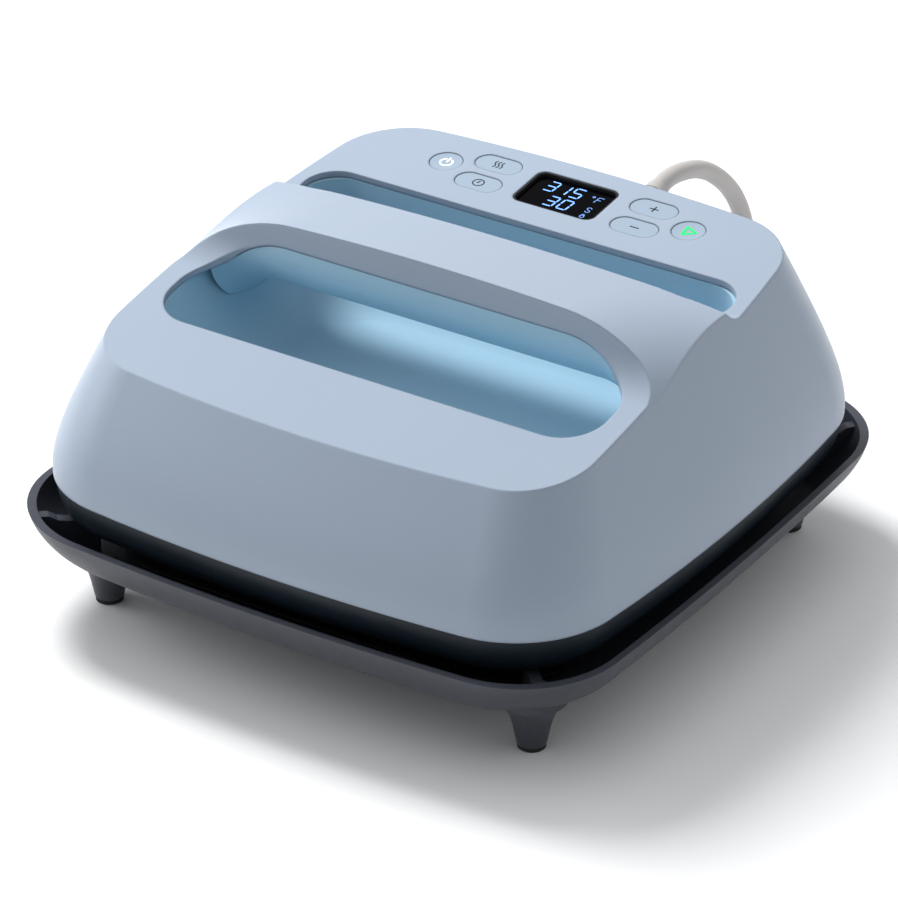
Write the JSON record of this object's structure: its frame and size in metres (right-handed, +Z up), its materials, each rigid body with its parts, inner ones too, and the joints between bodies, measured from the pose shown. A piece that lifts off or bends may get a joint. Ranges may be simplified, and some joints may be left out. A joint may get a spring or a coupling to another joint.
{
  "type": "heat press",
  "caption": "Hand-held heat press with a domed shell, through-handle, sloping control deck and hot plate, on its tray-shaped safety base with a power cord.",
  "frame": {"origin": "centre of the hot plate's working face, which hangs 40 mm above the surface the base's foot pads stand on", "axes": "+Z up, -Y towards the user, +X to the user's right; the control deck and the power cord are on the +Y side"},
  "size_m": [0.3164, 0.389, 0.1536],
  "materials": {
    "shell_blue": "glossy",
    "inner_blue": "matte",
    "button_blue": "satin",
    "navy_black": "satin",
    "charcoal": "fine texture",
    "black_plastic": "matte",
    "window_black": "glossy",
    "rubber_black": "matte",
    "coated_plate": "non-stick coating",
    "steel": "zinc plated",
    "aluminium": "satin",
    "brass": "satin",
    "blanket_white": "ceramic fibre",
    "board_green": "solder mask",
    "relay_blue": "satin",
    "led_clear": "clear",
    "cord_grey": "matte",
    "wire_red": "satin",
    "wire_white": "satin",
    "core_grey": "glass filled"
  },
  "bodies": {
    "safety_base": {"base_tray": "charcoal", "base_foot_pads": "rubber_black", "base_heat_pan": "black_plastic", "base_pan_screws": "steel"},
    "press": {"top_shell": "shell_blue", "cavity_liner": "inner_blue", "handle_under_cover": "inner_blue", "handle_core": "core_grey", "handle_screws": "steel", "skirt_ring": "navy_black", "shell_screws": "steel", "heat_plate": "coated_plate", "heating_element": "steel", "element_cover": "aluminium", "insulation_blanket": "blanket_white", "heat_shield": "steel", "plate_standoffs": "core_grey", "plate_screws": "steel", "inner_frame": "core_grey", "liner_screws": "steel", "control_board": "board_green", "control_board_screws": "steel", "display_window": "window_black", "display_bezel": "black_plastic", "display_module": "black_plastic", "tact_switches": "black_plastic", "button_leds": "led_clear", "buzzer": "black_plastic", "power_board": "board_green", "power_board_screws": "steel", "relay": "relay_blue", "triac_heatsink": "aluminium", "psu_transformer": "steel", "fuse": "brass", "terminal_block": "black_plastic", "temperature_sensor": "brass", "thermal_cutout": "steel", "sensor_leads": "wire_white", "heater_leads": "wire_white", "mains_leads": "wire_red", "control_harness": "wire_white", "power_cord": "cord_grey", "cord_strain_relief": "cord_grey", "cord_clamp": "core_grey", "clamp_screws": "steel", "power_plug": "cord_grey", "plug_pins": "brass"},
    "power_button_body": {"power_button": "button_blue"},
    "start_button_body": {"start_button": "button_blue"},
    "temperature_button_body": {"temperature_button": "button_blue"},
    "timer_button_body": {"timer_button": "button_blue"},
    "plus_button_body": {"plus_button": "button_blue"},
    "minus_button_body": {"minus_button": "button_blue"}
  },
  "joints": [
    {"name": "press_lift", "type": "slide", "parent": "safety_base", "child": "press", "axis": [0, 0, 1], "range_m": [0, 0.12]},
    {"name": "power_button_push", "type": "slide", "parent": "press", "child": "power_button_body", "axis": [0, 0.1011, -0.9949], "range_m": [0, 0.0008], "stiffness_N_per_m": 1500},
    {"name": "start_button_push", "type": "slide", "parent": "press", "child": "start_button_body", "axis": [0, 0.1011, -0.9949], "range_m": [0, 0.0008], "stiffness_N_per_m": 1500},
    {"name": "temperature_button_push", "type": "slide", "parent": "press", "child": "temperature_button_body", "axis": [0, 0.1011, -0.9949], "range_m": [0, 0.0008], "stiffness_N_per_m": 1500},
    {"name": "timer_button_push", "type": "slide", "parent": "press", "child": "timer_button_body", "axis": [0, 0.1011, -0.9949], "range_m": [0, 0.0008], "stiffness_N_per_m": 1500},
    {"name": "plus_button_push", "type": "slide", "parent": "press", "child": "plus_button_body", "axis": [0, 0.1011, -0.9949], "range_m": [0, 0.0008], "stiffness_N_per_m": 1500},
    {"name": "minus_button_push", "type": "slide", "parent": "press", "child": "minus_button_body", "axis": [0, 0.1011, -0.9949], "range_m": [0, 0.0008], "stiffness_N_per_m": 1500}
  ]
}
